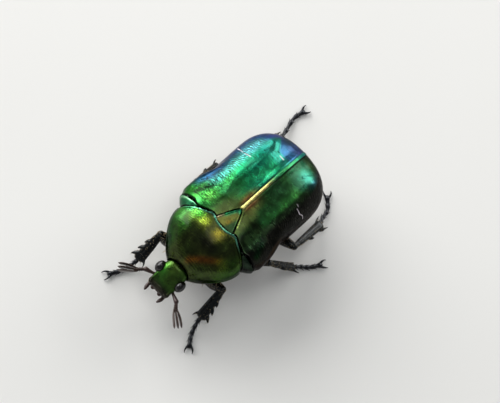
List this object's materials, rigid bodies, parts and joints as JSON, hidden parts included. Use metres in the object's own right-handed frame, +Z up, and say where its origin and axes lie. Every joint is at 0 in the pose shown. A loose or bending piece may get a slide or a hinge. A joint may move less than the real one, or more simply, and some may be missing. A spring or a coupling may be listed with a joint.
{
  "type": "rose chafer beetle",
  "caption": "Still life-size rose chafer: broad oval metallic green beetle with domed wing cases, shield, notched head, clubbed feelers and toothed legs, standing on its feet.",
  "frame": {"origin": "middle of the bounding box of beetle and feet, on the floor plane that the feet rest on", "axes": "+Z up from the floor, +Y from head to tail, +X towards the beetle's left side"},
  "size_m": [0.0142, 0.026, 0.008],
  "materials": {
    "wing_case": "glossy iridescent green, finely pitted, blue-violet towards the flanks and the rear, a few chalky white marks",
    "shield": "glossy iridescent olive green with bronze in the middle, finely pitted, narrow teal rim",
    "scutellum": "smooth glossy green with a teal edge",
    "head": "coarsely pitted bronze green",
    "underside": "glossy coppery violet with pits and short pale hairs",
    "leg": "glossy violet black with pale hairs",
    "eye": "dark brown, finely faceted",
    "feeler": "dark brown to black, satin"
  },
  "bodies": {
    "root": {"abdomen": "underside", "antenna_left": "feeler", "antenna_right": "feeler", "elytron_left": "wing_case", "elytron_right": "wing_case", "eye_left": "eye", "eye_right": "eye", "femur_fore_left": "leg", "femur_fore_right": "leg", "femur_hind_left": "leg", "femur_hind_right": "leg", "femur_middle_left": "leg", "femur_middle_right": "leg", "head": "head", "mesepimeron_left": "shield", "mesepimeron_right": "shield", "mouthparts": "feeler", "prothorax": "shield", "pygidium": "underside", "scutellum": "scutellum", "tarsus_fore_left": "leg", "tarsus_fore_right": "leg", "tarsus_hind_left": "leg", "tarsus_hind_right": "leg", "tarsus_middle_left": "leg", "tarsus_middle_right": "leg", "thorax": "underside", "tibia_fore_left": "leg", "tibia_fore_right": "leg", "tibia_hind_left": "leg", "tibia_hind_right": "leg", "tibia_middle_left": "leg", "tibia_middle_right": "leg"}
  },
  "joints": []
}
